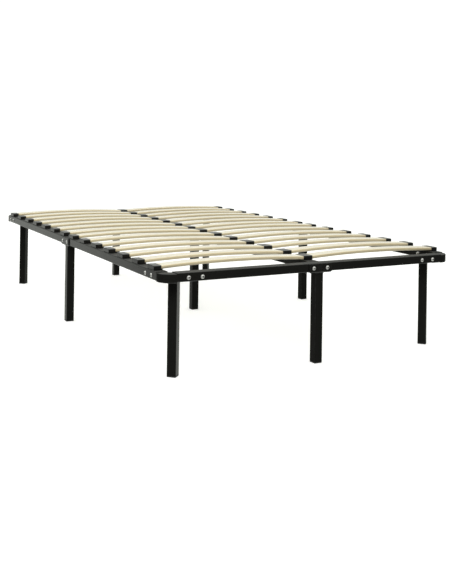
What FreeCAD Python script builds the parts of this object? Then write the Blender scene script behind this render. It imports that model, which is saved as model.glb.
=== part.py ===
import FreeCAD, Part
import os

# Metal bed frame: a knock-down steel frame on nine legs, with two columns of sprung slats.
# Millimetres. X runs across the bed, +Y towards the head end, +Z up.
# The origin is on the floor, under the middle of the frame.

Vector = FreeCAD.Vector

# Driving dimensions
frame_w = 1200.0  # across the outer faces of the side rails
frame_l = 2000.0  # over the outer faces of the end rails
rail_w = 40.0  # rail tube, across
rail_h = 30.0  # rail tube, upright
rail_wall = 2.0
rail_z = 321.0  # underside of the rails
leg_side = 32.0  # leg tube, square
leg_wall = 1.5
foot_h = 5.0  # plastic end cap under each leg
foot_plug_h = 14.0
foot_plug_gap = 0.2
foot_round = 1.5

corner_r = 50.0  # outer radius of the bent corner tube
corner_drop = 2.5  # the corner tubes sit this much lower than the rails
corner_leg_in = 74.0  # corner leg's centre, in from both outer faces
tongue_l = 115.0  # how far a corner tongue reaches into a rail
tongue_w = 35.0
tongue_h = 24.0
corner_bolts_at = (92.0, 142.0)  # from the outer face of the crossing rail
leg_plate_t = 4.0
leg_plate_in = 30.0  # its edges, from the outer faces
leg_plate_out = 100.0
leg_plate_edge = 32.0
leg_plate_cut = 20.0

saddle_l = 94.0  # bracket that joins a middle leg to its rails
saddle_t = 4.0
saddle_round = 8.0  # lower corners of the cheeks
cheek_low = 2.0  # cheek's top edge, under the rail's top
saddle_bolt_gap = 56.0
joiner_l = 160.0  # sleeve inside the rails at each middle joint
flange_in = 1.0  # centre rail's end flange, in from the rail's top and underside
fit_gap = 0.5  # clearance of a sleeve or tongue inside a rail, each side

bolt_d = 8.0
bolt_z = 334.0
bolt_head_d = 14.0
bolt_head_h = 4.5
socket_across = 5.0  # hexagon socket in a bolt head
socket_deep = 2.6
nut_across = 13.0
nut_h = 6.5
bolt_end = 9.0  # thread standing past the face that the nut bears on

slats_per_half = 7
slat_pitch = 139.2
slat_first = 59.4  # first slat's centre from the middle joint
slat_w = 53.0
slat_t = 12.0
slat_crown = 10.0  # rise of the middle over the ends
slat_end_z = 352.0  # underside of a slat at its ends
slat_inner_x = 2.0
slat_outer_x = 594.0

cap_l = 57.0  # along the rail
cap_h = 15.0
cap_round = 1.6
side_cap_w = 27.0
side_cap_x = 584.0  # middle of the side caps
centre_cap_w = 37.0
cap_gap = 0.25  # clearance between a slat and its pocket
cap_foot_out = 8.0  # foot flange, past the body of a side cap
cap_foot_h = 3.5
cap_foot_l = 42.0
peg_d = 10.0
peg_l = 10.0
hole_gap = 0.2  # clearance round a peg or bolt, on the radius

# Places worked out from them
half_w = frame_w / 2
half_l = frame_l / 2
side_x = half_w - rail_w / 2
end_y = half_l - rail_w / 2
rail_top = rail_z + rail_h
corner_z = rail_z - corner_drop
saddle_z = rail_z - saddle_t
SIDES = {"left": -1, "right": 1}
ENDS = {"foot": -1, "head": 1}
slat_ys = [-slat_first - slat_pitch * i for i in reversed(range(slats_per_half))]
slat_ys += [-y for y in reversed(slat_ys)]


def box(x0, x1, y0, y1, z0, z1):
    return Part.makeBox(x1 - x0, y1 - y0, z1 - z0, Vector(x0, y0, z0))


def cylinder(radius, length, start, direction):
    return Part.makeCylinder(radius, length, start, direction)


def place(shape, x, y, angle=0.0):
    """Turn a shape made at the origin about Z, then move it to x, y."""
    shape = shape.copy()
    shape.rotate(Vector(0, 0, 0), Vector(0, 0, 1), angle)
    shape.translate(Vector(x, y, 0))
    return shape


def rounded(shape, radius, wanted):
    """Fillet the edges whose middle and direction pass the test."""
    edges = []
    for edge in shape.Edges:
        ends = [vertex.Point for vertex in edge.Vertexes]
        if wanted((ends[0] + ends[1]) * 0.5, ends[1] - ends[0]):
            edges.append(edge)
    return shape.makeFillet(radius, edges)


# Bolts and pegs: each is a start point on an outer face and a direction inwards.
def corner_bolt_places():
    """Two bolts through each arm of each corner: (start, direction, grip)."""
    places = []
    for sx in SIDES.values():
        for sy in ENDS.values():
            for at in corner_bolts_at:
                side = Vector(sx * half_w, sy * (half_l - at), bolt_z)
                places.append((side, Vector(-sx, 0, 0), rail_w))
                end = Vector(sx * (half_w - at), sy * half_l, bolt_z)
                places.append((end, Vector(0, -sy, 0), rail_w))
    return places


def saddle_bolt_places():
    """Two bolts through the saddle of each middle leg: (start, direction, grip)."""
    places = []
    for side in (-1, 1):
        along = side * saddle_bolt_gap / 2
        for s in (-1, 1):
            outside = Vector(s * (half_w + saddle_t), along, bolt_z)
            places.append((outside, Vector(-s, 0, 0), rail_w + saddle_t))
            end = Vector(along, s * (half_l + saddle_t), bolt_z)
            places.append((end, Vector(0, -s, 0), rail_w + 2 * saddle_t))
        centre = Vector(-rail_w / 2 - saddle_t, along, bolt_z)
        places.append((centre, Vector(1, 0, 0), rail_w + 2 * saddle_t))
    return places


def peg_xs():
    return (-side_cap_x, 0.0, side_cap_x)


def hole_tools():
    """Round cutters for every bolt and peg."""
    tools = []
    for start, direction, grip in corner_bolt_places() + saddle_bolt_places():
        radius = bolt_d / 2 + hole_gap
        tools.append(cylinder(radius, grip + 2, start - direction, direction))
    for x in peg_xs():
        for y in slat_ys:
            start = Vector(x, y, rail_top - peg_l - 1)
            tools.append(cylinder(peg_d / 2 + hole_gap, peg_l + 2, start, Vector(0, 0, 1)))
    return tools


HOLES = hole_tools()


def drilled(shape):
    """Cut the holes that fall in this shape."""
    near = [tool for tool in HOLES if tool.BoundBox.intersect(shape.BoundBox)]
    return shape.cut(near) if near else shape


def tube_y(x, y0, y1, z0, width, height, wall):
    """Rectangular tube along Y, with its ends open."""
    outer = box(x - width / 2, x + width / 2, y0, y1, z0, z0 + height)
    half = width / 2 - wall
    inner = box(x - half, x + half, y0 - 1, y1 + 1, z0 + wall, z0 + height - wall)
    return outer.cut(inner)


def tube_x(y, x0, x1, z0, width, height, wall):
    """Rectangular tube along X, with its ends open."""
    return place(tube_y(-y, x0, x1, z0, width, height, wall), 0, 0, -90)


# Rails
def side_rail(sx, sy):
    """Half of a side rail, from a corner tube to the middle joint."""
    ends = sorted((0.0, sy * (half_l - corner_r)))
    return drilled(tube_y(sx * side_x, ends[0], ends[1], rail_z, rail_w, rail_h, rail_wall))


def end_rail(sx, sy):
    """Half of an end rail, from a corner tube to the middle joint."""
    ends = sorted((0.0, sx * (half_w - corner_r)))
    return drilled(tube_x(sy * end_y, ends[0], ends[1], rail_z, rail_w, rail_h, rail_wall))


def centre_rail(sy):
    """Half of the centre rail, with the flange that bolts to the end rail."""
    inner_face = sy * (half_l - rail_w)
    flange_back = inner_face - sy * saddle_t
    tube = tube_y(0, min(0, flange_back), max(0, flange_back), rail_z, rail_w, rail_h, rail_wall)
    low, high = sorted((inner_face, flange_back))
    flange = box(-saddle_l / 2, saddle_l / 2, low, high, rail_z + flange_in, rail_top - flange_in)
    return drilled(tube.fuse(flange).removeSplitter())


def rail_joiners():
    """A sleeve inside each of the five middle joints."""
    half = joiner_l / 2
    width = rail_w - 2 * (rail_wall + fit_gap)
    height = rail_h - 2 * (rail_wall + fit_gap)
    z0 = rail_z + rail_wall + fit_gap
    sleeves = [tube_y(x, -half, half, z0, width, height, rail_wall) for x in (-side_x, 0, side_x)]
    sleeves += [tube_x(y, -half, half, z0, width, height, rail_wall) for y in (-end_y, end_y)]
    return [drilled(sleeve) for sleeve in sleeves]


# Corners, made with their outer faces on the lines x = 0 and y = 0, then placed
def bent_bar(in_x, in_z):
    """Quarter turn of a bar that is inset by in_x and in_z from the corner tube's outside."""
    x0, x1 = in_x, rail_w - in_x
    z0, z1 = corner_z + in_z, corner_z + rail_h - in_z
    points = [Vector(x0, corner_r, z0), Vector(x1, corner_r, z0)]
    points += [Vector(x1, corner_r, z1), Vector(x0, corner_r, z1)]
    face = Part.Face(Part.makePolygon(points + points[:1]))
    return face.revolve(Vector(corner_r, corner_r, 0), Vector(0, 0, 1), 90)


def corner_arm():
    """End plate and hollow tongue of the arm that runs along +Y."""
    plate = box(0, rail_w, corner_r - rail_wall, corner_r, corner_z, corner_z + rail_h)
    tongue_z = rail_z + (rail_h - tongue_h) / 2
    tongue = tube_y(rail_w / 2, corner_r, corner_r + tongue_l, tongue_z, tongue_w, tongue_h, rail_wall)
    return plate.fuse(tongue)


def leg_plate():
    """Plate under the bend that carries the corner leg."""
    near, far, edge, cut = leg_plate_in, leg_plate_out, leg_plate_edge, leg_plate_cut
    half = [(near + edge, near), (far, far - edge), (far, far - cut)]
    outline = [(near, near)] + half + [(y, x) for x, y in reversed(half)]
    points = [Vector(x, y, corner_z - leg_plate_t) for x, y in outline]
    return Part.Face(Part.makePolygon(points + points[:1])).extrude(Vector(0, 0, leg_plate_t))


def corner_unit():
    """Bent tube, closed at both ends, with a tongue for each rail and the leg plate."""
    bend = bent_bar(0, 0).cut(bent_bar(rail_wall, rail_wall))
    arm = corner_arm()
    other_arm = arm.mirror(Vector(0, 0, 0), Vector(1, -1, 0))
    return bend.fuse([arm, other_arm, leg_plate()]).removeSplitter()


def corner_place(shape, sx, sy):
    """Put a shape made for the left foot corner there, then mirror it to the corner sx, sy."""
    shape = shape.copy()
    shape.translate(Vector(-half_w, -half_l, 0))
    if sx > 0:
        shape = shape.mirror(Vector(0, 0, 0), Vector(1, 0, 0))
    if sy > 0:
        shape = shape.mirror(Vector(0, 0, 0), Vector(0, 1, 0))
    return shape


# Legs
def leg_tube(top):
    """Square leg tube standing at the origin on its end cap."""
    half = leg_side / 2
    inner = half - leg_wall
    outer = box(-half, half, -half, half, foot_h, top)
    return outer.cut(box(-inner, inner, -inner, inner, foot_h - 1, top + 1))


def corner_leg():
    return place(leg_tube(corner_z - leg_plate_t), corner_leg_in, corner_leg_in, 45)


def saddle(both_cheeks):
    """Bracket that cradles a rail along Y, with its outer cheek towards +X."""
    half = rail_w / 2
    inside = half + saddle_t if both_cheeks else half
    block = box(-inside, half + saddle_t, -saddle_l / 2, saddle_l / 2, saddle_z, rail_top - cheek_low)
    block = rounded(block, saddle_round, lambda mid, way: abs(way.x) > 1 and mid.z < saddle_z + 1)
    return block.cut(box(-half, half, -saddle_l, saddle_l, rail_z, rail_top))


def middle_leg(x, y, angle, both_cheeks=False):
    """Leg tube welded under its saddle."""
    whole = leg_tube(saddle_z).fuse(saddle(both_cheeks)).removeSplitter()
    return drilled(place(whole, x, y, angle))


def leg_places():
    """Centre and turn of every leg: (x, y, angle)."""
    corner_x, corner_y = half_w - corner_leg_in, half_l - corner_leg_in
    places = [(sx * corner_x, sy * corner_y, 45) for sx in (-1, 1) for sy in (-1, 1)]
    places += [(sx * side_x, 0, 0) for sx in (-1, 0, 1)]
    return places + [(0, sy * end_y, 0) for sy in (-1, 1)]


def foot():
    """Plastic end cap with a plug that pushes into the leg tube."""
    half = leg_side / 2
    plug = half - leg_wall - foot_plug_gap
    pad = rounded(box(-half, half, -half, half, 0, foot_h), foot_round, lambda mid, way: mid.z < 0.1)
    return pad.fuse(box(-plug, plug, -plug, plug, foot_h, foot_h + foot_plug_h)).removeSplitter()


# Slats, made for the right-hand column
def slat_blank(gap=0.0):
    """Bowed strip, in the plane of its bow, thickened and widened by gap on every face."""
    half_span = (slat_outer_x - slat_inner_x) / 2
    middle = (slat_outer_x + slat_inner_x) / 2
    radius = (half_span ** 2 + slat_crown ** 2) / (2 * slat_crown)
    centre_z = slat_end_z + slat_crown - radius
    width = slat_w + 2 * gap
    start = Vector(middle, -width / 2, centre_z)
    ring = cylinder(radius + slat_t + gap, width, start, Vector(0, 1, 0))
    ring = ring.cut(cylinder(radius - gap, width, start, Vector(0, 1, 0)))
    x0, x1 = slat_inner_x - gap, slat_outer_x + gap
    return ring.common(box(x0, x1, -width, width, slat_end_z - 1, slat_end_z + slat_crown + slat_t + 1))


def cap_body(x0, x1):
    """Block of a slat holder, with its upright and top edges rounded."""
    top = rail_top + cap_h
    block = box(x0, x1, -cap_l / 2, cap_l / 2, rail_top, top)
    return rounded(block, cap_round, lambda mid, way: abs(way.z) > 1 or mid.z > top - 0.1)


def cap_peg(x):
    """Peg that plugs a slat holder into the top of its rail."""
    return cylinder(peg_d / 2, peg_l, Vector(x, 0, rail_top - peg_l), Vector(0, 0, 1))


def side_cap(pocket):
    """Right-hand slat holder: a pocket open towards the middle, a foot flange and a peg."""
    x0, x1 = side_cap_x - side_cap_w / 2, side_cap_x + side_cap_w / 2
    flange_top = rail_top + cap_foot_h
    flange = box(x0 - cap_foot_out, x0 + 1, -cap_foot_l / 2, cap_foot_l / 2, rail_top, flange_top)
    whole = cap_body(x0, x1).fuse([flange, cap_peg(side_cap_x)]).removeSplitter()
    return whole.cut(pocket)


def centre_cap(pocket):
    """Double holder on the centre rail, with a pocket for the slat of each column."""
    whole = cap_body(-centre_cap_w / 2, centre_cap_w / 2).fuse(cap_peg(0)).removeSplitter()
    return whole.cut([pocket, pocket.mirror(Vector(0, 0, 0), Vector(1, 0, 0))])


# Fasteners
def hexagon(across, height, z):
    """Hexagonal prism standing on z."""
    corner = across / 3 ** 0.5
    points = [FreeCAD.Rotation(Vector(0, 0, 1), 60 * i).multVec(Vector(corner, 0, z)) for i in range(7)]
    return Part.Face(Part.makePolygon(points)).extrude(Vector(0, 0, height))


def socket_bolt(start, direction, grip):
    """Domed socket head outside, shank through the rail, thread standing past the nut."""
    radius = bolt_head_d / 2
    sphere_r = (radius ** 2 + bolt_head_h ** 2) / (2 * bolt_head_h)
    ball = Part.makeSphere(sphere_r, Vector(0, 0, bolt_head_h - sphere_r))
    head = ball.common(box(-radius, radius, -radius, radius, 0, bolt_head_h))
    head = head.cut(hexagon(socket_across, socket_deep, bolt_head_h - socket_deep))
    shank = cylinder(bolt_d / 2, grip + bolt_end, Vector(0, 0, 0), Vector(0, 0, -1))
    bolt = head.fuse(shank).removeSplitter()
    bolt.Placement = FreeCAD.Placement(start, FreeCAD.Rotation(Vector(0, 0, 1), direction * -1))
    return bolt


def hex_nut(start, direction, grip):
    """Nut on the far face, with a hole that clears the thread."""
    nut = hexagon(nut_across, nut_h, 0)
    nut = nut.cut(cylinder(bolt_d / 2, nut_h, Vector(0, 0, 0), Vector(0, 0, 1)))
    turn = FreeCAD.Rotation(Vector(0, 0, 1), direction)
    nut.Placement = FreeCAD.Placement(start + direction * grip, turn)
    return nut


# Assembly
def frame_nodes():
    """Rails, corners and legs by name."""
    nodes = {}
    unit, leg = corner_unit(), corner_leg()
    for end, sy in ENDS.items():
        nodes[f"centre_rail_{end}"] = centre_rail(sy)
        nodes[f"end_leg_{end}"] = middle_leg(0, sy * end_y, 90 * sy)
        for side, sx in SIDES.items():
            nodes[f"corner_tube_{end}_{side}"] = drilled(corner_place(unit, sx, sy))
            nodes[f"corner_leg_{end}_{side}"] = corner_place(leg, sx, sy)
            nodes[f"side_rail_{side}_{end}"] = side_rail(sx, sy)
            nodes[f"end_rail_{end}_{side}"] = end_rail(sx, sy)
    for side, sx in SIDES.items():
        nodes[f"side_leg_{side}"] = middle_leg(sx * side_x, 0, 90 - 90 * sx)
    nodes["centre_leg"] = middle_leg(0, 0, 0, both_cheeks=True)
    return nodes


def slat_nodes():
    """One node per slat, numbered from the foot end."""
    blank = slat_blank()
    mirrored = blank.mirror(Vector(0, 0, 0), Vector(1, 0, 0))
    nodes = {}
    for number, y in enumerate(slat_ys, start=1):
        nodes[f"slat_left_{number:02d}"] = place(mirrored, 0, y)
        nodes[f"slat_right_{number:02d}"] = place(blank, 0, y)
    return nodes


def cap_nodes():
    """Slat holders of each rail, as one node per rail."""
    pocket = slat_blank(cap_gap)
    right = side_cap(pocket)
    left = right.mirror(Vector(0, 0, 0), Vector(1, 0, 0))
    kinds = {"left": left, "centre": centre_cap(pocket), "right": right}
    return {f"slat_caps_{name}": [place(cap, 0, y) for y in slat_ys] for name, cap in kinds.items()}


def fastener_nodes():
    """Bolts, nuts, sleeves and end caps, grouped by kind."""
    corner, middle = corner_bolt_places(), saddle_bolt_places()
    return {
        "corner_bolts": [socket_bolt(*bolt) for bolt in corner],
        "saddle_bolts": [socket_bolt(*bolt) for bolt in middle],
        "hex_nuts": [hex_nut(*bolt) for bolt in corner + middle],
        "rail_joiners": rail_joiners(),
        "leg_feet": [place(foot(), *where) for where in leg_places()],
    }


def export(nodes):
    os.makedirs("parts", exist_ok=True)
    for name, shapes in nodes.items():
        solid_list = shapes if isinstance(shapes, list) else [shapes]
        solids = [solid for shape in solid_list for solid in shape.Solids]
        whole = solids[0] if len(solids) == 1 else Part.makeCompound(solids)
        whole.exportStep(f"parts/{name}.step")


export({**frame_nodes(), **slat_nodes(), **cap_nodes(), **fastener_nodes()})
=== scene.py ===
import math
import random

import bmesh
import bpy
from mathutils import Matrix, Vector


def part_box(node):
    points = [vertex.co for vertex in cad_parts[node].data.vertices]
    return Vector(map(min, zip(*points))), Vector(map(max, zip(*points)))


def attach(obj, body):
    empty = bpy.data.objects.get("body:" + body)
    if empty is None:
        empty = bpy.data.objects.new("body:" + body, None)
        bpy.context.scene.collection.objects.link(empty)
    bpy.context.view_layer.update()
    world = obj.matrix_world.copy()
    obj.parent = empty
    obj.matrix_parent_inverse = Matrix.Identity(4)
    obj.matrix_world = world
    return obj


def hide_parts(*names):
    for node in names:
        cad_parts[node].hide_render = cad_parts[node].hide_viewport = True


# Metal bed frame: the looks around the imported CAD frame. Metres, +Y towards the head end, +Z up.
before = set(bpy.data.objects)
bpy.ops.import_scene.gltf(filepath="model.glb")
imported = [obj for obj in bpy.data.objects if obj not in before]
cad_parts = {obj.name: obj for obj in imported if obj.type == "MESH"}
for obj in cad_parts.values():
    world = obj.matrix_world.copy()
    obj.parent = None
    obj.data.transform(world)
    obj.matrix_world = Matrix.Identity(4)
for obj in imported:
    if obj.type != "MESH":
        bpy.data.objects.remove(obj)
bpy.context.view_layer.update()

# Places read from the frame
side_low, side_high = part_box("side_rail_right_head")
end_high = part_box("end_rail_head_right")[1]
corner_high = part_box("corner_tube_head_right")[1]
plate_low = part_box("corner_tube_head_right")[0].z
corner_leg_low, corner_leg_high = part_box("corner_leg_head_right")
middle_low, middle_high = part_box("side_leg_right")
caps_low, caps_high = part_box("slat_caps_right")

HALF_W, HALF_L = side_high.x, end_high.y
RAIL_W = side_high.x - side_low.x
RAIL_H = side_high.z - side_low.z
RAIL_Z, RAIL_TOP = side_low.z, side_high.z
RAIL_MID_Z = (RAIL_Z + RAIL_TOP) / 2
CORNER_R = HALF_L - side_high.y
CORNER_TOP = corner_high.z
CORNER_MID_Z = CORNER_TOP - RAIL_H / 2
CORNER_LEG_AT = (corner_leg_low.x + corner_leg_high.x) / 2
LEG_FOOT_Z = corner_leg_low.z
SADDLE_TOP = middle_high.z
SADDLE_L = middle_high.y - middle_low.y
SLATS = range(1, 15)
SIDES = {"left": -1, "right": 1}
ENDS = {"foot": -1, "head": 1}
SIDE_RAIL_X, END_RAIL_Y = HALF_W - RAIL_W / 2, HALF_L - RAIL_W / 2

# Sizes of the details
MM = 0.001
TUBE_WALL = 2 * MM
TUBE_ROUND = 3 * MM
LEG_SIDE = 32 * MM
LEG_WALL = 1.5 * MM
LEG_ROUND = 2.5 * MM
PLATE_T = 4 * MM
TONGUE_L, TONGUE_W, TONGUE_H = 115 * MM, 35 * MM, 24 * MM
SADDLE_T = 4 * MM
SADDLE_Z = RAIL_Z - SADDLE_T
SADDLE_BEND = 2 * MM
SADDLE_ROUND = 8 * MM
SLAT_T = 12 * MM
SLAT_ROUND = 4.6 * MM
SLAT_PLIES = 7
CAP_L = 57 * MM
CAP_W = 27 * MM
CENTRE_CAP_W = 37 * MM
CAP_ROUND = 2.2 * MM
CAP_GAP = 0.25 * MM
CAP_FOOT_L, CAP_FOOT_H = 42 * MM, 3.5 * MM
PEG_R, PEG_L = 5 * MM, 10 * MM
BOLT_Z = 334 * MM
CORNER_BOLTS_AT = (92 * MM, 142 * MM)
SADDLE_BOLT_AT = 28 * MM
BOLT_HEAD_R, BOLT_HEAD_H = 7 * MM, 4.5 * MM
BOLT_TOP = 4.0 * MM
BOLT_R = 4 * MM
SOCKET_ACROSS, SOCKET_DEEP = 5 * MM, 2.6 * MM
NUT_ACROSS, NUT_H = 13 * MM, 6.5 * MM
BOLT_END = 9 * MM
THREAD_PITCH, THREAD_DEEP = 1.25 * MM, 0.65 * MM
ROUND_STEPS = 24
WELD_R = 1.9 * MM
HAIR = 0.02 * MM

# Colours, linear
COAT_DARK, COAT_LIGHT = (0.0112, 0.0112, 0.0100, 1), (0.0154, 0.0154, 0.0138, 1)
COAT_SPECK, COAT_RUBBED = (0.02, 0.02, 0.018, 1), (0.05, 0.05, 0.047, 1)
VENEER_DARK, VENEER_LIGHT = (0.70, 0.63, 0.48, 1), (0.74, 0.68, 0.55, 1)
VENEER_TONE, VENEER_STREAK = (0.70, 0.59, 0.41, 1), (0.58, 0.44, 0.26, 1)
PLY_LIGHT, PLY_DARK = (0.90, 0.79, 0.54, 1), (0.80, 0.67, 0.43, 1)
END_GRAIN, PORE = (0.56, 0.42, 0.24, 1), (0.42, 0.29, 0.16, 1)
CAP_DARK, CAP_LIGHT = (0.003, 0.003, 0.003, 1), (0.007, 0.007, 0.0072, 1)
FOOT_DARK, FOOT_LIGHT = (0.007, 0.007, 0.007, 1), (0.013, 0.013, 0.013, 1)
PLASTIC_SCUFF = (0.07, 0.07, 0.07, 1)
ZINC_DARK, ZINC_LIGHT = (0.66, 0.66, 0.64, 1), (0.82, 0.82, 0.79, 1)
# Painted shade: near-black colour laid into bolt sockets, threads and nut bores
PAINTED_RECESS_SHADE = (0.035, 0.034, 0.032, 1)
STEEL_DARK, STEEL_LIGHT = (0.20, 0.20, 0.21, 1), (0.42, 0.42, 0.43, 1)


# Materials
def add(tree, kind, inputs=None, **settings):
    """One shader node. An input is a value, or a socket to link."""
    node = tree.nodes.new("ShaderNode" + kind)
    for name, value in settings.items():
        setattr(node, name, value)
    for name, value in (inputs or {}).items():
        if isinstance(value, bpy.types.NodeSocket):
            tree.links.new(value, node.inputs[name])
        else:
            node.inputs[name].default_value = value
    return node


def principled(name, **constants):
    """A material with one principled shader: (material, tree, shader)."""
    made = bpy.data.materials.new(name)
    made.use_nodes = True
    shader = made.node_tree.nodes["Principled BSDF"]
    for socket, value in constants.items():
        shader.inputs[socket.replace("_", " ")].default_value = value
    return made, made.node_tree, shader


def position(tree):
    """The point on the object, in metres."""
    return add(tree, "TexCoord").outputs["Object"]


def mark(tree, name):
    """A number that the mesh carries on its points."""
    return add(tree, "Attribute", attribute_name=name).outputs["Fac"]


def stretched(tree, vector, x, y, z):
    """A vector scaled along each axis, so that a texture runs long or short there."""
    return add(tree, "VectorMath", {0: vector, 1: (x, y, z)}, operation="MULTIPLY").outputs[0]


def normal_along(tree, axis):
    """How squarely a face looks along an axis, from -1 to 1."""
    normal = add(tree, "NewGeometry").outputs["Normal"]
    return add(tree, "SeparateXYZ", {0: normal}).outputs[axis]


def noise(tree, vector, scale, detail=2.0, roughness=0.5):
    """Soft random clouds from 0 to 1, with scale of them to a metre."""
    inputs = {"Vector": vector, "Scale": scale, "Detail": detail, "Roughness": roughness}
    return add(tree, "TexNoise", inputs).outputs["Fac"]


def ranged(tree, value, low, high, to_low, to_high):
    """Smooth step from to_low, where value is low, to to_high, where it is high."""
    inputs = {"Value": value, "From Min": low, "From Max": high, "To Min": to_low, "To Max": to_high}
    return add(tree, "MapRange", inputs, interpolation_type="SMOOTHSTEP").outputs[0]


def maths(tree, operation, a, b=0.0):
    return add(tree, "Math", {0: a, 1: b}, operation=operation).outputs[0]


def blended(tree, factor, a, b, blend_type="MIX"):
    """Colour a where factor is 0 and b where it is 1."""
    node = add(tree, "Mix", data_type="RGBA", blend_type=blend_type)
    for index, value in ((0, factor), (6, a), (7, b)):
        if isinstance(value, bpy.types.NodeSocket):
            tree.links.new(value, node.inputs[index])
        else:
            node.inputs[index].default_value = value
    return node.outputs[2]


def bumped(tree, shader, layers):
    """Bump from several heights: (height, strength, distance)."""
    normal = None
    for height, strength, distance in layers:
        inputs = {"Height": height, "Strength": strength, "Distance": distance}
        if normal is not None:
            inputs["Normal"] = normal
        normal = add(tree, "Bump", inputs).outputs["Normal"]
    tree.links.new(normal, shader.inputs["Normal"])


def powder_coat():
    """Satin black powder coat: orange peel, fine grain, rubbed edges and duller tops."""
    made, tree, shader = principled("black_powder_coat", Specular_IOR_Level=0.45)
    where = position(tree)
    peel = noise(tree, where, 620.0, 2.0, 0.4)
    grain = noise(tree, where, 3800.0, 3.0, 0.6)
    patches = noise(tree, where, 9.0, 4.0, 0.6)
    scraped = ranged(tree, noise(tree, where, 60.0, 5.0, 0.7), 0.42, 0.72, 0.0, 1.0)
    rubbed = maths(tree, "MULTIPLY", mark(tree, "wear"), scraped)
    coat = blended(tree, patches, COAT_DARK, COAT_LIGHT)
    speckled = blended(tree, ranged(tree, grain, 0.62, 0.8, 0.0, 0.5), coat, COAT_SPECK)
    edged = blended(tree, maths(tree, "MULTIPLY", rubbed, 0.55), speckled, COAT_RUBBED)
    tree.links.new(edged, shader.inputs["Base Color"])
    satin = ranged(tree, patches, 0.3, 0.7, 0.14, 0.20)
    polished = maths(tree, "SUBTRACT", satin, maths(tree, "MULTIPLY", rubbed, 0.1))
    dusty = ranged(tree, normal_along(tree, "Z"), 0.6, 0.95, 0.0, 0.40)
    tree.links.new(maths(tree, "ADD", polished, dusty), shader.inputs["Roughness"])
    bumped(tree, shader, [(peel, 0.22, 0.00025), (grain, 0.3, 0.00006)])
    return made


def plywood():
    """Bent birch plywood: rotary-cut face veneer, and stacked plies along its edges."""
    gloss = {"Specular_IOR_Level": 0.5, "Coat_Weight": 0.7, "Coat_Roughness": 0.18}
    made, tree, shader = principled("birch_plywood", **gloss)
    shift = mark(tree, "grain")
    offset = add(tree, "CombineXYZ", {"X": shift, "Y": shift, "Z": maths(tree, "MULTIPLY", shift, 0.37)})
    where = add(tree, "VectorMath", {0: position(tree), 1: offset.outputs[0]}, operation="ADD").outputs[0]
    figure = noise(tree, stretched(tree, where, 2.2, 26.0, 26.0), 1.0, 4.0, 0.55)
    fibre = noise(tree, stretched(tree, where, 14.0, 620.0, 620.0), 1.0, 3.0, 0.6)
    pores = noise(tree, stretched(tree, where, 90.0, 2600.0, 2600.0), 1.0, 1.0, 0.5)
    tone = maths(tree, "FRACT", maths(tree, "MULTIPLY", shift, 3.7))
    veneer = blended(tree, ranged(tree, figure, 0.3, 0.7, 0.0, 1.0), VENEER_DARK, VENEER_LIGHT)
    toned = blended(tree, maths(tree, "MULTIPLY", tone, 0.35), veneer, VENEER_TONE)
    streaked = blended(tree, ranged(tree, fibre, 0.5, 0.85, 0.0, 0.35), toned, VENEER_STREAK)
    face = blended(tree, ranged(tree, pores, 0.66, 0.82, 0.0, 0.45), streaked, PORE)

    ply = mark(tree, "ply")
    across = maths(tree, "MODULO", maths(tree, "FLOOR", ply), 2.0)
    from_middle = maths(tree, "ABSOLUTE", maths(tree, "SUBTRACT", maths(tree, "FRACT", ply), 0.5))
    glue = ranged(tree, from_middle, 0.43, 0.48, 0.0, 1.0)
    end_grain = noise(tree, stretched(tree, where, 900.0, 60.0, 900.0), 1.0, 2.0, 0.6)
    cut = blended(tree, across, PLY_LIGHT, PLY_DARK)
    cut = blended(tree, ranged(tree, end_grain, 0.45, 0.75, 0.0, 0.3), cut, END_GRAIN)
    cut = blended(tree, maths(tree, "MULTIPLY", glue, 0.5), cut, PORE)
    edge = ranged(tree, maths(tree, "ABSOLUTE", normal_along(tree, "Y")), 0.45, 0.8, 0.0, 1.0)
    tree.links.new(blended(tree, edge, face, cut), shader.inputs["Base Color"])
    smooth = ranged(tree, fibre, 0.3, 0.8, 0.26, 0.36)
    rough = maths(tree, "ADD", smooth, maths(tree, "MULTIPLY", edge, 0.14))
    tree.links.new(rough, shader.inputs["Roughness"])
    bumped(tree, shader, [(fibre, 0.3, 0.0001), (pores, 0.25, 0.00005), (figure, 0.2, 0.0004)])
    return made


def moulded_plastic(name, dark, light, rough_low, rough_high):
    """Black plastic from a spark-eroded mould: even fine texture, smoother on its edges."""
    made, tree, shader = principled(name, Specular_IOR_Level=0.85)
    where = position(tree)
    texture = noise(tree, where, 2600.0, 3.0, 0.7)
    flow = noise(tree, stretched(tree, where, 30.0, 90.0, 60.0), 1.0, 3.0, 0.5)
    rubbing = noise(tree, stretched(tree, where, 500.0, 60.0, 500.0), 1.0, 2.0, 0.7)
    scuff = ranged(tree, rubbing, 0.64, 0.8, 0.0, 1.0)
    colour = blended(tree, flow, dark, light)
    scuffed = blended(tree, maths(tree, "MULTIPLY", scuff, 0.25), colour, PLASTIC_SCUFF)
    tree.links.new(scuffed, shader.inputs["Base Color"])
    polished = maths(tree, "MULTIPLY", mark(tree, "wear"), 0.12)
    rough = maths(tree, "SUBTRACT", ranged(tree, flow, 0.3, 0.7, rough_low, rough_high), polished)
    tree.links.new(rough, shader.inputs["Roughness"])
    bumped(tree, shader, [(texture, 0.35, 0.00008), (flow, 0.1, 0.0003)])
    return made


def zinc():
    """Bright zinc plating: soft clouding, fine turning marks, and painted shade that darkens its recesses."""
    made, tree, shader = principled("zinc_plating", Metallic=0.4)
    where = position(tree)
    clouds = noise(tree, where, 240.0, 4.0, 0.6)
    marks = noise(tree, where, 5200.0, 2.0, 0.5)
    plated = blended(tree, clouds, ZINC_DARK, ZINC_LIGHT)
    # Painted shade: the recess mark darkens the zinc towards near black in sockets, threads and bores
    recess_shade = maths(tree, "MULTIPLY", mark(tree, "recess"), 0.85)
    tree.links.new(blended(tree, recess_shade, plated, PAINTED_RECESS_SHADE), shader.inputs["Base Color"])
    tree.links.new(ranged(tree, clouds, 0.3, 0.7, 0.30, 0.42), shader.inputs["Roughness"])
    bumped(tree, shader, [(marks, 0.2, 0.00004)])
    return made


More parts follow.
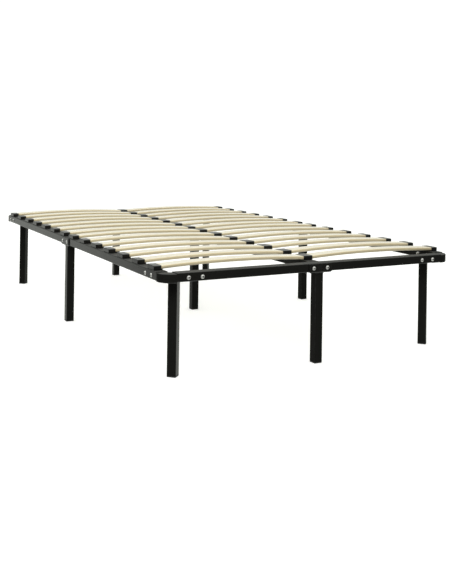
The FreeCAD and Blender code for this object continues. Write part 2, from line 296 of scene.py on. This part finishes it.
def rolled_steel():
    """Bare rolled steel of the sleeves inside the rails."""
    made, tree, shader = principled("rolled_steel", Metallic=1.0)
    where = position(tree)
    scale = noise(tree, stretched(tree, where, 60.0, 60.0, 60.0), 1.0, 5.0, 0.7)
    drawn = noise(tree, stretched(tree, where, 40.0, 40.0, 2400.0), 1.0, 2.0, 0.6)
    tree.links.new(blended(tree, scale, STEEL_DARK, STEEL_LIGHT), shader.inputs["Base Color"])
    tree.links.new(ranged(tree, scale, 0.3, 0.7, 0.35, 0.6), shader.inputs["Roughness"])
    bumped(tree, shader, [(drawn, 0.3, 0.00005)])
    return made


BLACK = powder_coat()
WOOD = plywood()
CAP_PLASTIC = moulded_plastic("cap_plastic_black", CAP_DARK, CAP_LIGHT, 0.30, 0.38)
FOOT_PLASTIC = moulded_plastic("foot_plastic_black", FOOT_DARK, FOOT_LIGHT, 0.50, 0.62)
ZINC = zinc()
STEEL = rolled_steel()


# Meshes
class Shape:
    """A mesh in the making, with the marks that its material reads."""

    def __init__(self):
        self.bm = bmesh.new()
        # recess carries how much painted shade the zinc gets in its sockets, threads and bores
        names = ("wear", "ply", "grain", "recess")
        self.marks = {name: self.bm.verts.layers.float.new(name) for name in names}

    def ring(self, points, **marks):
        """Points in a loop. Each mark is one number, or one for each point."""
        made = [self.bm.verts.new(point) for point in points]
        for name, value in marks.items():
            values = value if isinstance(value, list) else [value] * len(made)
            for vert, number in zip(made, values):
                vert[self.marks[name]] = number
        return made

    def join(self, a, b):
        """A band of faces between two loops of the same length."""
        count = len(a)
        for i in range(count):
            j = (i + 1) % count
            self.bm.faces.new((a[i], a[j], b[j], b[i]))

    def loft(self, rings, first=True, last=True):
        """Bands between each loop and the next, with a face over each open end."""
        for a, b in zip(rings, rings[1:]):
            self.join(a, b)
        if first:
            self.bm.faces.new(rings[0])
        if last:
            self.bm.faces.new(rings[-1])


def piece(shape, name, material, slot, *nodes, smooth=32):
    """Turn a shape into a shown piece that stands for CAD nodes."""
    bmesh.ops.recalc_face_normals(shape.bm, faces=shape.bm.faces)
    mesh = bpy.data.meshes.new(name)
    shape.bm.to_mesh(mesh)
    shape.bm.free()
    mesh.materials.append(material)
    mesh.shade_smooth()
    mesh.set_sharp_from_angle(angle=math.radians(smooth))
    made = bpy.data.objects.new(name, mesh)
    bpy.context.scene.collection.objects.link(made)
    weighted = made.modifiers.new("even_shading", "WEIGHTED_NORMAL")
    weighted.keep_sharp = True
    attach(made, "root")
    if nodes:
        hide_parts(*nodes)
    return made


def rounded_outline(width, height, radius, steps=4):
    """A rectangle with round corners: (u, v, wear), where wear is 1 at the middle of a corner."""
    points = []
    for quarter in range(4):
        start = math.pi / 2 * quarter
        cu = (width / 2 - radius) * (1 if quarter in (0, 3) else -1)
        cv = (height / 2 - radius) * (1 if quarter in (0, 1) else -1)
        for i in range(steps + 1):
            angle = start + math.pi / 2 * i / steps
            wear = math.sin(math.pi * i / steps)
            points.append((cu + radius * math.cos(angle), cv + radius * math.sin(angle), wear))
    return points


def section(shape, outline, at, across, up, inset=0.0):
    """A loop of an outline in the plane of across and up, drawn in by inset."""
    points = []
    for u, v, _ in outline:
        shrunk = Vector((u - math.copysign(inset, u), v - math.copysign(inset, v)))
        points.append(at + across * shrunk.x + up * shrunk.y)
    return shape.ring(points, wear=[wear for _, _, wear in outline])


def tube(shape, stations, width, height, radius, wall, ease=0.3 * MM):
    """A hollow tube through stations of (place, across, up, forward), with eased ends."""
    outer = rounded_outline(width, height, radius)
    inner = rounded_outline(width - 2 * wall, height - 2 * wall, max(radius - wall, 0.5 * MM))
    loops = []
    last = len(stations) - 1
    for i, (at, across, up, forward) in enumerate(stations):
        if i == 0:
            loops.append(section(shape, outer, at, across, up, ease))
            at = at + forward * ease
        if i == last:
            at = at - forward * ease
        loops.append(section(shape, outer, at, across, up))
        if i == last:
            loops.append(section(shape, outer, at + forward * ease, across, up, ease))
    for at, across, up, _ in reversed(stations):
        loops.append(section(shape, inner, at, across, up))
    shape.loft(loops + loops[:1], first=False, last=False)


def straight(start, end, across, up):
    """Two stations for a straight tube."""
    forward = (end - start).normalized()
    return [(start, across, up, forward), (end, across, up, forward)]


def turned(angle):
    """Level unit vectors along and across a turn about Z."""
    across = Vector((math.cos(angle), math.sin(angle), 0))
    return across, Vector((-across.y, across.x, 0))


X, Y, Z = Vector((1, 0, 0)), Vector((0, 1, 0)), Vector((0, 0, 1))


# Rails
def rail(name, start, end, *nodes):
    """One rail half with open ends."""
    across = Z.cross((end - start).normalized())
    shape = Shape()
    tube(shape, straight(start, end, across, Z), RAIL_W, RAIL_H, TUBE_ROUND, TUBE_WALL)
    return piece(shape, name, BLACK, "black_steel", *nodes)


def rails():
    """Two halves of each side rail and each end rail."""
    for side, sx in SIDES.items():
        for end, sy in ENDS.items():
            start = Vector((sx * SIDE_RAIL_X, 0, RAIL_MID_Z))
            stop = Vector((sx * SIDE_RAIL_X, sy * (HALF_L - CORNER_R), RAIL_MID_Z))
            rail(f"side_rail_tube_{side}_{end}", start, stop, f"side_rail_{side}_{end}")
            start = Vector((0, sy * END_RAIL_Y, RAIL_MID_Z))
            stop = Vector((sx * (HALF_W - CORNER_R), sy * END_RAIL_Y, RAIL_MID_Z))
            rail(f"end_rail_tube_{end}_{side}", start, stop, f"end_rail_{end}_{side}")


def weld_round(shape, at, across, up, width, height, radius, seed):
    """A rippled weld bead round a rounded rectangular section."""
    rng = random.Random(seed)
    path = rounded_outline(width, height, radius, 3)
    corners = [at + across * u + up * v for u, v, _ in path]
    points = []
    for i, here in enumerate(corners):
        there = corners[(i + 1) % len(corners)]
        count = max(1, round((there - here).length / (0.9 * MM)))
        points += [here.lerp(there, k / count) for k in range(count)]
    normal = across.cross(up).normalized()
    turn = [math.tau * k / 8 for k in range(8)]
    rings = []
    for i, here in enumerate(points):
        ahead = (points[(i + 1) % len(points)] - points[i - 1]).normalized()
        out = ahead.cross(normal)
        ripple = 1 + 0.16 * math.sin(i * 2.1) + rng.uniform(-0.08, 0.08)
        size = WELD_R * ripple
        bead = [here + out * size * math.cos(t) + normal * size * math.sin(t) for t in turn]
        rings.append(shape.ring(bead))
    shape.loft(rings + rings[:1], first=False, last=False)


def centre_rails():
    """Halves of the centre rail, each welded to a flange on its end rail."""
    for end, sy in ENDS.items():
        flange_low, flange_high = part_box(f"centre_rail_{end}")
        face = sy * (HALF_L - RAIL_W)
        back = face - sy * PLATE_T
        shape = Shape()
        start, stop = Vector((0, 0, RAIL_MID_Z)), Vector((0, back, RAIL_MID_Z))
        tube(shape, straight(start, stop, X * -sy, Z), RAIL_W, RAIL_H, TUBE_ROUND, TUBE_WALL)
        outline = rounded_outline(flange_high.x - flange_low.x, RAIL_H - 2 * MM, 3 * MM)
        rings = []
        for y, inset in ((face, 0.4), (face - sy * 0.4 * MM, 0), (back + sy * 0.4 * MM, 0), (back, 0.4)):
            rings.append(section(shape, outline, Vector((0, y, RAIL_MID_Z)), X, Z, inset * MM))
        shape.loft(rings)
        weld_round(shape, Vector((0, back, RAIL_MID_Z)), X, Z, RAIL_W, RAIL_H - 3 * MM, TUBE_ROUND, sy)
        piece(shape, f"centre_rail_tube_{end}", BLACK, "black_steel", f"centre_rail_{end}")


# Corners: a is the distance in from the side rail's outer face, b from the end rail's
def corner_point(sx, sy, a, b, z):
    """A place at one corner of the frame."""
    return Vector((sx * (HALF_W - a), sy * (HALF_L - b), z))


def corner_way(sx, sy, a, b):
    """A direction at one corner of the frame."""
    return Vector((-sx * a, -sy * b, 0))


def leg_plate(shape, sx, sy):
    """Plate under the bend that carries the corner leg."""
    near, far, edge, cut = 30 * MM, 100 * MM, 32 * MM, 20 * MM
    half = [(near + edge, near), (far, far - edge), (far, far - cut)]
    outline = [(near, near)] + half + [(y, x) for x, y in reversed(half)]
    centre = sum(p[0] for p in outline) / len(outline)
    rings = []
    for z, shrink in ((0, 0.992), (0.4 * MM, 1), (PLATE_T - 0.4 * MM, 1), (PLATE_T, 0.992)):
        points = [(centre + (a - centre) * shrink, centre + (b - centre) * shrink) for a, b in outline]
        rings.append(shape.ring([corner_point(sx, sy, a, b, plate_low + z) for a, b in points], wear=0.5))
    shape.loft(rings)


def corner_unit(sx, sy, name, node):
    """Bent tube closed at both ends, with a tongue for each rail and the leg plate."""
    shape = Shape()
    middle_r = CORNER_R - RAIL_W / 2
    stations = []
    steps = 18
    for i in range(steps + 1):
        t = math.pi / 2 * i / steps
        a, b = CORNER_R - middle_r * math.cos(t), CORNER_R - middle_r * math.sin(t)
        out = corner_way(sx, sy, -math.cos(t), -math.sin(t))
        ahead = corner_way(sx, sy, math.sin(t), -math.cos(t))
        stations.append((corner_point(sx, sy, a, b, CORNER_MID_Z), out, Z, ahead))
    tube(shape, stations, RAIL_W, RAIL_H, TUBE_ROUND, TUBE_WALL)
    for at, out, up, ahead in (stations[0], stations[-1]):
        way = -ahead if at is stations[0][0] else ahead
        plug = rounded_outline(RAIL_W - 2 * TUBE_WALL, RAIL_H - 2 * TUBE_WALL, MM)
        rings = [section(shape, plug, at - way * d * MM, out, up) for d in (0.6, 2)]
        shape.loft(rings)
        centre = Vector((at.x, at.y, RAIL_MID_Z))
        tube(shape, straight(centre, centre + way * TONGUE_L, out, up), TONGUE_W, TONGUE_H, 2 * MM, TUBE_WALL)
    leg_plate(shape, sx, sy)
    return piece(shape, name, BLACK, "black_steel", node)


# Legs
def leg_tube(shape, x, y, angle, top):
    """Square tube welded on at its top."""
    across, up = turned(angle)
    start, stop = Vector((x, y, LEG_FOOT_Z)), Vector((x, y, top))
    tube(shape, straight(start, stop, across, up), LEG_SIDE, LEG_SIDE, LEG_ROUND, LEG_WALL)
    seed = round(1e4 * (x + 2 * y))
    weld_round(shape, stop - Z * 0.4 * MM, across, up, LEG_SIDE, LEG_SIDE, LEG_ROUND, seed)


def corner_leg_place(sx, sy):
    """Centre of a corner leg, at the floor."""
    inset = HALF_W - CORNER_LEG_AT
    return corner_point(sx, sy, inset, inset, 0)


def corners():
    """Corner tubes, each with its leg turned 45 degrees."""
    for side, sx in SIDES.items():
        for end, sy in ENDS.items():
            corner_unit(sx, sy, f"corner_bend_{end}_{side}", f"corner_tube_{end}_{side}")
            at = corner_leg_place(sx, sy)
            shape = Shape()
            leg_tube(shape, at.x, at.y, math.radians(45), plate_low)
            piece(shape, f"corner_leg_tube_{end}_{side}", BLACK, "black_steel", f"corner_leg_{end}_{side}")


def plate_end(z):
    """Half the length of a saddle at height z: round lower corners, eased upper ones."""
    half = SADDLE_L / 2
    low = SADDLE_Z + SADDLE_ROUND
    ease = 2 * MM
    if z < low:
        return half - SADDLE_ROUND + math.sqrt(max(0.0, SADDLE_ROUND ** 2 - (low - z) ** 2))
    if z > SADDLE_TOP - ease:
        return half - ease + math.sqrt(max(0.0, ease ** 2 - (z - SADDLE_TOP + ease) ** 2))
    return half


def saddle_section(both_cheeks):
    """Pairs of inner and outer points, (across, z), along the bent plate."""
    inner_r, outer_r = SADDLE_BEND, SADDLE_BEND + SADDLE_T
    half = RAIL_W / 2
    heights = [SADDLE_TOP - h * MM for h in (0, 0.5, 1, 2, 8, 14)]
    cheek = [((half, z), (half + SADDLE_T, z)) for z in heights]
    for i in range(7):
        angle = -math.pi / 2 * i / 6
        ca, sa = math.cos(angle), math.sin(angle)
        cx, cz = half - inner_r, RAIL_Z + inner_r
        cheek.append(((cx + inner_r * ca, cz + inner_r * sa), (cx + outer_r * ca, cz + outer_r * sa)))
    if both_cheeks:
        mirrored = [((-a[0], a[1]), (-b[0], b[1])) for a, b in reversed(cheek)]
        return cheek + mirrored
    return cheek + [((-half, RAIL_Z), (-half, SADDLE_Z))]


def saddle(shape, x, y, angle, both_cheeks):
    """Bent plate that cradles a rail, with its cheek towards angle."""
    turn = Matrix.Rotation(angle, 4, "Z")
    at = Vector((x, y, 0))
    rows = []
    for inner, outer in saddle_section(both_cheeks):
        row = []
        for across, z in (inner, outer):
            for sign in (-1, 1):
                row.append(at + turn @ Vector((across, sign * plate_end(z), z)))
        rows.append(shape.ring([row[0], row[1], row[3], row[2]], wear=0.4))
    shape.loft(rows)


def middle_legs():
    """Legs under the side rails, the end rails and the centre rail."""
    places = []
    for side, sx in SIDES.items():
        places.append((f"side_leg_{side}", sx * SIDE_RAIL_X, 0, math.pi * (1 - sx) / 2, False))
    for end, sy in ENDS.items():
        places.append((f"end_leg_{end}", 0, sy * END_RAIL_Y, math.pi / 2 * sy, False))
    places.append(("centre_leg", 0, 0, 0, True))
    for node, x, y, angle, both_cheeks in places:
        shape = Shape()
        saddle(shape, x, y, angle, both_cheeks)
        leg_tube(shape, x, y, angle, SADDLE_Z)
        piece(shape, f"{node}_and_saddle", BLACK, "black_steel", node)


def leg_places():
    """Centre and turn of every leg: (x, y, angle)."""
    places = []
    for sx in SIDES.values():
        for sy in ENDS.values():
            at = corner_leg_place(sx, sy)
            places.append((at.x, at.y, math.radians(45)))
    places += [(x, 0, 0) for x in (-SIDE_RAIL_X, 0, SIDE_RAIL_X)]
    return places + [(0, y, 0) for y in (-END_RAIL_Y, END_RAIL_Y)]


def feet():
    """Plastic end caps with a rounded rim and a shallow hollow underneath."""
    shape = Shape()
    outline = rounded_outline(LEG_SIDE, LEG_SIDE, LEG_ROUND)
    top = LEG_FOOT_Z / MM
    steps = [(0.25, top), (0.0, top - 0.4), (0.0, 2.6), (0.0, 1.5), (0.35, 0.6), (1.0, 0.15)]
    steps += [(1.8, 0.0), (4.2, 0.0), (4.8, 0.7)]
    for x, y, angle in leg_places():
        across, up = turned(angle)
        rings = []
        for inset, z in steps:
            rings.append(section(shape, outline, Vector((x, y, z * MM)), across, up, inset * MM))
        shape.loft(rings)
    return piece(shape, "leg_foot_caps", FOOT_PLASTIC, "foot_plastic", "leg_feet")


# Slats
def slat_heights(x, low, high):
    """Underside and top of a bowed slat at x, from its box."""
    half_span = (high.x - low.x) / 2
    middle = (high.x + low.x) / 2
    crown = high.z - low.z - SLAT_T
    radius = (half_span ** 2 + crown ** 2) / (2 * crown)
    centre_z = low.z + crown - radius
    under = centre_z + math.sqrt(radius ** 2 - (x - middle) ** 2)
    top = centre_z + math.sqrt((radius + SLAT_T) ** 2 - (x - middle) ** 2)
    return under, top


def slat(side, number):
    """Bowed plywood board with bullnose edges, its plies and grain marked on the mesh."""
    node = f"slat_{side}_{number:02d}"
    low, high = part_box(node)
    rng = random.Random(number + (100 if side == "left" else 0))
    shape = Shape()
    outline = rounded_outline(high.y - low.y, SLAT_T, SLAT_ROUND)
    shares = [0.5 + v / SLAT_T for _, v, _ in outline]
    ply = [0.02 + share * (SLAT_PLIES - 0.04) for share in shares]
    wear = [worn for _, _, worn in outline]
    grain = rng.uniform(0.0, 9.0)
    middle_y = (low.y + high.y) / 2
    rings = []
    steps = 44
    for i in range(steps + 1):
        x = low.x + (high.x - low.x) * i / steps
        under, top = slat_heights(x, low, high)
        points = []
        for (u, _, _), share in zip(outline, shares):
            points.append((x, middle_y + u, under + (top - under) * share))
        rings.append(shape.ring(points, ply=ply, grain=grain, wear=wear))
    shape.loft(rings)
    return piece(shape, f"slat_plywood_{side}_{number:02d}", WOOD, "slat_wood", node)


# Slat holders
def holder_ring(shape, x, y, z_low, z_high, half_l, radius, inset=0.0, wear=None):
    """A loop round a slat holder in a plane of constant x."""
    outline = rounded_outline(2 * half_l, z_high - z_low, radius)
    at = Vector((x, y, (z_low + z_high) / 2))
    made = section(shape, outline, at, Y, Z, inset)
    if wear is not None:
        for vert in made:
            vert[shape.marks["wear"]] = wear
    return made


def pocket_rings(shape, sign, x_mouth, x_floor, y, slat_low, slat_high):
    """Loops from the lip of a pocket in to its floor. The mouth faces -sign."""
    half = (slat_high.y - slat_low.y) / 2
    rings = []
    lip, throat = x_mouth + sign * 0.2 * MM, x_mouth + sign * 0.8 * MM
    for x, gap in ((lip, 0.9 * MM), (throat, CAP_GAP), (x_floor, CAP_GAP)):
        under, top = slat_heights(max(min(x, slat_high.x), slat_low.x), slat_low, slat_high)
        rings.append(holder_ring(shape, x, y, under - gap, top + gap, half + gap, 1.2 * MM))
    return rings


def body_rings(shape, x_from, x_to, y, round_from, round_to):
    """Loops along the outside of a holder, with rounded ends."""
    size = (RAIL_TOP, caps_high.z, CAP_L / 2, CAP_ROUND)
    sign = 1 if x_to > x_from else -1
    ease = ((1.0, 0.0), (0.62, 0.08), (0.29, 0.29), (0.08, 0.62), (0.0, 1.0))
    rings = []
    for inset, along in ease:
        x = x_from + sign * along * round_from
        rings.append(holder_ring(shape, x, y, *size, inset * round_from * 0.7, inset))
    for inset, along in reversed(ease):
        x = x_to - sign * along * round_to
        rings.append(holder_ring(shape, x, y, *size, inset * round_to * 0.7, inset))
    return rings


def side_holder(shape, sx, number):
    """Pocket open towards the middle, with a foot flange on the rail."""
    side = "right" if sx > 0 else "left"
    low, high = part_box(f"slat_{side}_{number:02d}")
    y = (low.y + high.y) / 2
    outer = sx * caps_high.x
    inner = outer - sx * CAP_W
    floor = (high.x if sx > 0 else low.x) + sx * CAP_GAP
    rings = body_rings(shape, outer, inner, y, 2.6 * MM, 1.0 * MM)
    rings += pocket_rings(shape, sx, inner, floor, y, low, high)
    shape.loft(rings)
    holder_foot(shape, sx, inner, y, low, high)
    peg(shape, (outer + inner) / 2, y)


def holder_foot(shape, sx, inner, y, slat_low, slat_high):
    """Low flange that keeps the holder square on the rail, clear of the slat over it."""
    tip = sx * caps_low.x
    steps = ((inner + sx * MM, 0), (tip + sx * 0.8 * MM, 0), (tip + sx * 0.25 * MM, 0.25), (tip, 0.8))
    rings = []
    for x, inset in steps:
        room = slat_heights(x, slat_low, slat_high)[0] - CAP_GAP - RAIL_TOP
        height = min(CAP_FOOT_H, room)
        outline = rounded_outline(CAP_FOOT_L, height, 0.9 * MM)
        rings.append(section(shape, outline, Vector((x, y, RAIL_TOP + height / 2)), Y, Z, inset * MM))
    shape.loft(rings)


def peg(shape, x, y):
    """Round peg that plugs the holder into its rail."""
    turn = [math.tau * i / 20 for i in range(20)]
    rings = []
    for rise, radius in ((0.3 * MM, PEG_R), (MM - PEG_L, PEG_R), (-PEG_L, 0.82 * PEG_R)):
        z = RAIL_TOP + rise
        rings.append(shape.ring([(x + radius * math.cos(t), y + radius * math.sin(t), z) for t in turn]))
    shape.loft(rings)


def centre_holder(shape, number):
    """Double holder with a pocket for the slat of each column."""
    left_low, left_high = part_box(f"slat_left_{number:02d}")
    right_low, right_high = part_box(f"slat_right_{number:02d}")
    y = (right_low.y + right_high.y) / 2
    half = CENTRE_CAP_W / 2
    rings = list(reversed(pocket_rings(shape, 1, -half, left_high.x + CAP_GAP, y, left_low, left_high)))
    rings += body_rings(shape, -half, half, y, MM, MM)
    rings += pocket_rings(shape, -1, half, right_low.x - CAP_GAP, y, right_low, right_high)
    shape.loft(rings)
    peg(shape, 0, y)


def holders():
    """The holders on each side rail, and the double ones on the centre rail."""
    for side, sx in SIDES.items():
        shape = Shape()
        for number in SLATS:
            side_holder(shape, sx, number)
        piece(shape, f"slat_holders_{side}", CAP_PLASTIC, "cap_plastic", f"slat_caps_{side}")
    shape = Shape()
    for number in SLATS:
        centre_holder(shape, number)
    piece(shape, "slat_holders_centre", CAP_PLASTIC, "cap_plastic", "slat_caps_centre")


# Fasteners: each runs from a start point in a direction
def spoke(start, way, depth, i):
    """Centre of a loop at depth, and the way out to its point i."""
    side = way.cross(Z).normalized()
    t = math.tau * i / ROUND_STEPS
    return start + way * depth, side * math.cos(t) + side.cross(way) * math.sin(t)


def round_ring(shape, start, way, depth, radius, recess=0.0, hexagon=0.0):
    """A loop round the axis: a circle, a hexagon of that distance across flats, or the lesser of both."""
    points = []
    for i in range(ROUND_STEPS):
        reach = radius
        if hexagon:
            t = math.tau * i / ROUND_STEPS
            reach = hexagon / 2 / math.cos((t + math.pi / 6) % (math.pi / 3) - math.pi / 6)
            reach = min(reach, radius) if radius else reach
        centre, out = spoke(start, way, depth, i)
        points.append(centre + out * reach)
    return shape.ring(points, recess=recess)


def thread(shape, start, way, depth_from, depth_to):
    """Loops of a helical thread, ending in a chamfer."""
    rings = []
    chamfer = 0.9 * MM
    steps = round((depth_to - depth_from) / (THREAD_PITCH / 6))
    for k in range(steps + 1):
        depth = depth_from + (depth_to - depth_from) * k / steps
        limit = BOLT_R - max(0.0, chamfer - (depth_to - depth))
        points = []
        for i in range(ROUND_STEPS):
            phase = (depth / THREAD_PITCH + i / ROUND_STEPS) % 1
            reach = BOLT_R - THREAD_DEEP * abs(2 * phase - 1)
            centre, out = spoke(start, way, depth, i)
            points.append(centre + out * min(reach, limit))
        rings.append(shape.ring(points, recess=0.25))
    return rings


def bolt(shape, start, way, grip):
    """Button head with a hexagon socket, shank and thread."""
    top = -BOLT_TOP
    steps = [
        (top + SOCKET_DEEP, 0.1 * MM, 1.0),
        (top + SOCKET_DEEP, 0, 1.0, SOCKET_ACROSS),
        (top + 0.3 * MM, 0, 0.9, SOCKET_ACROSS),
        (top, 3.1 * MM, 0.3),
    ]
    dome_r = (BOLT_HEAD_R ** 2 + BOLT_HEAD_H ** 2) / (2 * BOLT_HEAD_H)
    for i in range(8):
        radius = 3.3 * MM + (BOLT_HEAD_R - 3.4 * MM) * math.sin(math.pi / 2 * i / 7)
        steps.append((dome_r - BOLT_HEAD_H - math.sqrt(dome_r ** 2 - radius ** 2), radius))
    steps += [(-0.15 * MM, BOLT_HEAD_R), (0, BOLT_HEAD_R - 0.3 * MM), (HAIR, BOLT_R), (grip - 2 * MM, BOLT_R)]
    rings = [round_ring(shape, start, way, *step) for step in steps]
    shape.loft(rings + thread(shape, start, way, grip, grip + BOLT_END))


def nut(shape, start, way, grip):
    """Hexagon nut with chamfered corners and a countersunk thread."""
    face = NUT_ACROSS / 2
    corner = face / math.cos(math.pi / 6)
    lost = (corner - face) * math.tan(math.radians(30))
    countersink, bore = BOLT_R + 0.5 * MM, BOLT_R - 0.1 * MM
    steps = [
        (HAIR, countersink),
        (HAIR, face * 0.97),
        (lost * 0.4, face * 1.04, 0, NUT_ACROSS),
        (lost, 0, 0, NUT_ACROSS),
        (NUT_H - lost, 0, 0, NUT_ACROSS),
        (NUT_H - lost * 0.4, face * 1.04, 0, NUT_ACROSS),
        (NUT_H, face * 0.97),
        (NUT_H, countersink, 0.2),
        (NUT_H - 0.7 * MM, bore, 0.6),
        (0.7 * MM, bore, 0.6),
    ]
    rings = [round_ring(shape, start + way * grip, way, *step) for step in steps]
    shape.loft(rings + rings[:1], first=False, last=False)


def corner_bolt_places():
    """Two bolts through each arm of each corner: (start, direction, grip)."""
    places = []
    for sx in SIDES.values():
        for sy in ENDS.values():
            for at in CORNER_BOLTS_AT:
                side = Vector((sx * HALF_W, sy * (HALF_L - at), BOLT_Z))
                places.append((side, X * -sx, RAIL_W))
                end = Vector((sx * (HALF_W - at), sy * HALF_L, BOLT_Z))
                places.append((end, Y * -sy, RAIL_W))
    return places


def saddle_bolt_places():
    """Two bolts through the saddle of each middle leg: (start, direction, grip)."""
    places = []
    for side in (-1, 1):
        along = side * SADDLE_BOLT_AT
        for s in (-1, 1):
            outside = Vector((s * (HALF_W + SADDLE_T), along, BOLT_Z))
            places.append((outside, X * -s, RAIL_W + SADDLE_T))
            end = Vector((along, s * (HALF_L + SADDLE_T), BOLT_Z))
            places.append((end, Y * -s, RAIL_W + 2 * SADDLE_T))
        centre = Vector((-RAIL_W / 2 - SADDLE_T, along, BOLT_Z))
        places.append((centre, X, RAIL_W + 2 * SADDLE_T))
    return places


def fasteners():
    """Every bolt, and a nut on each."""
    groups = {"corner": corner_bolt_places(), "saddle": saddle_bolt_places()}
    for name, places in groups.items():
        shape = Shape()
        for place in places:
            bolt(shape, *place)
        piece(shape, f"{name}_socket_bolts", ZINC, "fastener_zinc", f"{name}_bolts", smooth=40)
    shape = Shape()
    for place in groups["corner"] + groups["saddle"]:
        nut(shape, *place)
    piece(shape, "chamfered_nuts", ZINC, "fastener_zinc", "hex_nuts", smooth=25)


rails()
centre_rails()
corners()
middle_legs()
feet()
for column in SIDES:
    for row in SLATS:
        slat(column, row)
holders()
fasteners()
for joint_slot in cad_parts["rail_joiners"].material_slots:
    joint_slot.material = STEEL


# Studio: the camera's yaw is from +Y towards +X
CAMERA_AT = (-1.7259, -3.5278, 0.8191)
CAMERA_YAW, CAMERA_ROLL = math.radians(28.016), math.radians(-0.85)
CAMERA_LENS, CAMERA_SENSOR, CAMERA_SHIFT = 53.75, 36.0, -0.2819
FLOOR_SIZE, FLOOR_GLOW = 60, 0.41
FLOOR_DARK, FLOOR_LIGHT = (0.80, 0.80, 0.80, 1), (0.82, 0.82, 0.82, 1)
WHITE, STUDIO_WHITE = (1, 1, 1, 1), (0.975, 1.0, 0.935, 1)
SEEN_WHITE = 1.05
BACKDROP_WAY = (0.407, 0.914, 0)
SCREEN_WAY = (0.454, 0.853, 0.259)

# Light from each part of the room, as for ranged: from where to where, and from what strength to what
FROM_ABOVE = (0.30, 0.75, 0.0, 1.15)
FROM_BELOW = (-0.35, -0.80, 0.0, 0.95)
FROM_BACKDROP = (0.57, 0.72, 0.08, 0.68)
BACKDROP_FADE = (0.0, 0.2, 1.0, 0.40)
FROM_SCREEN = (0.90, 0.97, 0.0, 0.80)


def studio_floor():
    """Pale floor that glows a little and throws no light on the bed."""
    bpy.ops.mesh.primitive_plane_add(size=FLOOR_SIZE)
    floor = bpy.context.object
    floor.name = "floor"
    finish = {"Roughness": 0.9, "Specular_IOR_Level": 0.1}
    glow = {"Emission_Color": WHITE, "Emission_Strength": FLOOR_GLOW}
    made, tree, shader = principled("pale_floor", **finish, **glow)
    tone = noise(tree, position(tree), 1.5, 3.0)
    tree.links.new(blended(tree, tone, FLOOR_DARK, FLOOR_LIGHT), shader.inputs["Base Color"])
    floor.data.materials.append(made)
    floor.visible_glossy = False
    floor.visible_diffuse = False


def along(tree, way, fixed):
    """How nearly a direction points along a fixed one."""
    return add(tree, "VectorMath", {0: way, 1: fixed}, operation="DOT_PRODUCT").outputs["Value"]


def studio_world():
    """White to the camera. As light: bright behind and above the bed, dim in front of it."""
    world = bpy.data.worlds.new("studio")
    bpy.context.scene.world = world
    world.use_nodes = True
    tree = world.node_tree
    tree.nodes.clear()
    way = add(tree, "TexCoord").outputs["Generated"]
    height = add(tree, "SeparateXYZ", {0: way}).outputs["Z"]
    backdrop = ranged(tree, along(tree, way, BACKDROP_WAY), *FROM_BACKDROP)
    light = maths(tree, "MULTIPLY", backdrop, ranged(tree, height, *BACKDROP_FADE))
    screen = ranged(tree, along(tree, way, SCREEN_WAY), *FROM_SCREEN)
    for part in (screen, ranged(tree, height, *FROM_ABOVE), ranged(tree, height, *FROM_BELOW)):
        light = maths(tree, "MAXIMUM", light, part)
    lit = add(tree, "Background", {"Color": STUDIO_WHITE, "Strength": light})
    seen = add(tree, "Background", {"Color": WHITE, "Strength": SEEN_WHITE})
    camera_ray = add(tree, "LightPath").outputs["Is Camera Ray"]
    mixed = add(tree, "MixShader", {0: camera_ray, 1: lit.outputs[0], 2: seen.outputs[0]})
    output = add(tree, "OutputWorld")
    tree.links.new(mixed.outputs[0], output.inputs["Surface"])


def softbox(name, place, target, width, height, power):
    """Rectangular lamp that the camera doesn't see."""
    light = bpy.data.lights.new(name, "AREA")
    light.shape = "RECTANGLE"
    light.size, light.size_y = width, height
    light.energy = power
    lamp = bpy.data.objects.new(name, light)
    bpy.context.scene.collection.objects.link(lamp)
    lamp.location = place
    lamp.rotation_mode = "QUATERNION"
    lamp.rotation_quaternion = (Vector(target) - Vector(place)).to_track_quat("-Z", "Y")
    lamp.visible_camera = False
    return lamp


def camera():
    """Level view from the left of the foot end, with its frame shifted down to the bed."""
    forward = Vector((math.sin(CAMERA_YAW), math.cos(CAMERA_YAW), 0))
    right = Vector((math.cos(CAMERA_YAW), -math.sin(CAMERA_YAW), 0))
    down = forward.cross(right)
    across = right * math.cos(CAMERA_ROLL) + down * math.sin(CAMERA_ROLL)
    below = down * math.cos(CAMERA_ROLL) - right * math.sin(CAMERA_ROLL)
    data = bpy.data.cameras.new("camera")
    data.sensor_width = CAMERA_SENSOR
    data.lens = CAMERA_LENS
    data.shift_y = CAMERA_SHIFT
    lens = bpy.data.objects.new("camera", data)
    bpy.context.scene.collection.objects.link(lens)
    columns = Matrix((across, -below, -forward)).transposed().to_4x4()
    lens.matrix_world = Matrix.Translation(CAMERA_AT) @ columns
    bpy.context.scene.camera = lens


studio_floor()
studio_world()
softbox("top_softbox", place=(-0.6, 0.8, 3.2), target=(0, 0, 0.3), width=3.5, height=3.5, power=40)
fill = softbox("front_fill", place=(-1.6, -3.4, 2.8), target=(0, -0.4, 0.3), width=2.5, height=2.0, power=60)
fill.visible_glossy = False
camera()
bpy.context.scene.view_settings.view_transform = "Standard"
